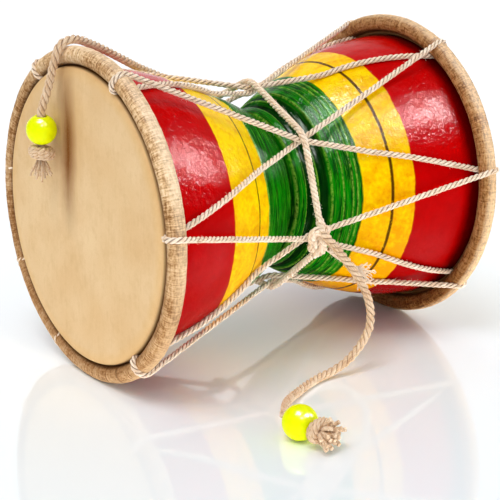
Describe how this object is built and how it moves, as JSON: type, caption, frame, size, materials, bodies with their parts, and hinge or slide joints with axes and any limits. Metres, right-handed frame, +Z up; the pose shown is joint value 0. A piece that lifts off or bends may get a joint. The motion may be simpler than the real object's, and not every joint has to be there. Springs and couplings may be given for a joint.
{
  "type": "damaru drum",
  "caption": "Hourglass hand drum: a lacquered wooden shell, hide heads on lapped hoops laced to each other, a waist cord, and striker beads on cords.",
  "frame": {"origin": "on the floor, under the middle of the drum, which lies on the rims of its hoops", "axes": "+X along the drum's axis, from the head with the hanging bead to the other head; +Y away from the side with the waist knot; +Z up"},
  "size_m": [0.2109, 0.225, 0.1632],
  "materials": {
    "lacquer": "turned wood under glossy red, yellow and green lacquer",
    "head_hide": "stretched rawhide, matt",
    "hoop_hide": "wrinkled rawhide lapped over the hoop, satin",
    "jute": "twisted natural fibre, matt",
    "bead": "glossy"
  },
  "bodies": {
    "root": {"shell": "lacquer", "left_skin": "head_hide", "right_skin": "head_hide", "left_hoop": "hoop_hide", "right_hoop": "hoop_hide", "lacing_rope": "jute", "lacing_knot": "jute", "waist_cord": "jute", "waist_knot": "jute", "top_tie_knot": "jute", "front_striker_cord": "jute", "front_bead": "bead", "front_knot": "jute", "top_striker_cord": "jute", "top_bead": "bead", "top_knot": "jute"}
  },
  "joints": []
}
